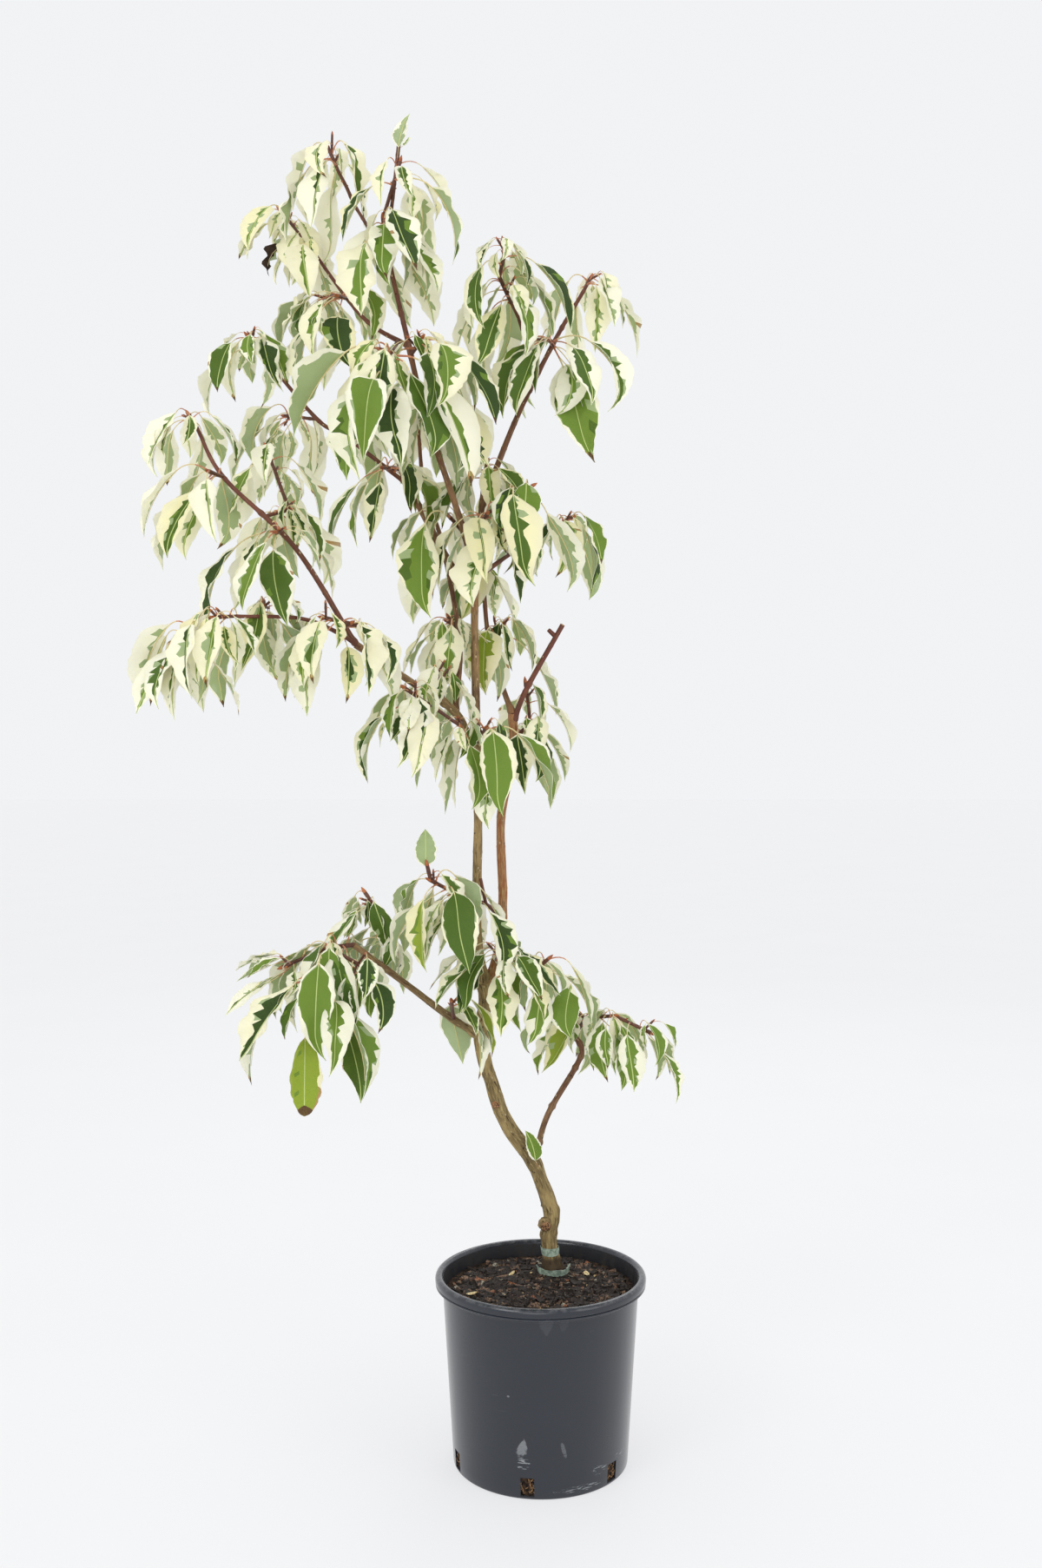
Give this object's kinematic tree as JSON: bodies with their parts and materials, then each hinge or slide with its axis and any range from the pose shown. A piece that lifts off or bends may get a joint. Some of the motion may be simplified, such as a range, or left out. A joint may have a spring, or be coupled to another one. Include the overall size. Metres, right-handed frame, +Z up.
{
  "type": "potted giant dogwood",
  "caption": "Tall slender shrub in a round nursery pot: a bent trunk forks into upright stems whose tiered boughs carry whorls of hanging cream-edged leaves.",
  "frame": {"origin": "centre of the pot's flat underside", "axes": "+Z up, -Y towards the front of the plant as pictured, +X to the right of the front"},
  "size_m": [0.6223, 0.4616, 1.5647],
  "materials": {
    "pot": "smooth blue-black nursery plastic, slightly glossy, scuffed",
    "soil": "moist dark brown bark compost",
    "tape": "pale grey-green grafting tape",
    "bark": "olive-brown to reddish bark with pale pores and fine fissures",
    "foliage": "green leaves with broad irregular cream margins"
  },
  "bodies": {
    "root": {"pot": "pot", "soil": "soil", "tape_band": "tape", "tape_loop": "tape", "trunk": "bark", "left_stem": "bark", "right_stem": "bark", "back_stem": "bark", "cut_branch": "bark", "left_bough": "bark", "left_straight": "bark", "leader": "bark", "upper_left_bough": "bark", "right_bough": "bark", "low_left_bough": "bark", "inner_stem": "bark", "outer_left_bough": "bark", "lowest_left_bough": "bark", "bottom_left_bough": "bark", "bottom_right_bough": "bark", "leader_top": "foliage", "top_left": "foliage", "upper_left_tip": "foliage", "upper_left_mid": "foliage", "front_whorl": "foliage", "leader_right": "foliage", "left_straight_tip": "foliage", "left_stub": "foliage", "inner_twig": "foliage", "outer_left_tip": "foliage", "outer_left_mid": "foliage", "outer_left_inner": "foliage", "lowest_left_tip": "foliage", "lowest_left_inner": "foliage", "lower_drop": "foliage", "low_red_twig": "foliage", "low_knot": "foliage", "left_bough_front": "foliage", "behind_leader": "foliage", "stem_top": "foliage", "inner_stem_top": "foliage", "left_bough_top": "foliage", "leader_mid": "foliage", "stem_front": "foliage", "right_low_twig": "foliage", "right_fork": "foliage", "right_bough_mid": "foliage", "right_bough_tip": "foliage", "back_stem_top": "foliage", "inner_stem_mid": "foliage", "back_stem_right": "foliage", "right_stem_top": "foliage", "stem_low_front": "foliage", "mid_left_twig": "foliage", "front_low": "foliage", "right_low": "foliage", "bottom_right_tip": "foliage", "bottom_left_under": "foliage", "bottom_left_up": "foliage", "bottom_left_tip": "foliage"}
  },
  "joints": []
}
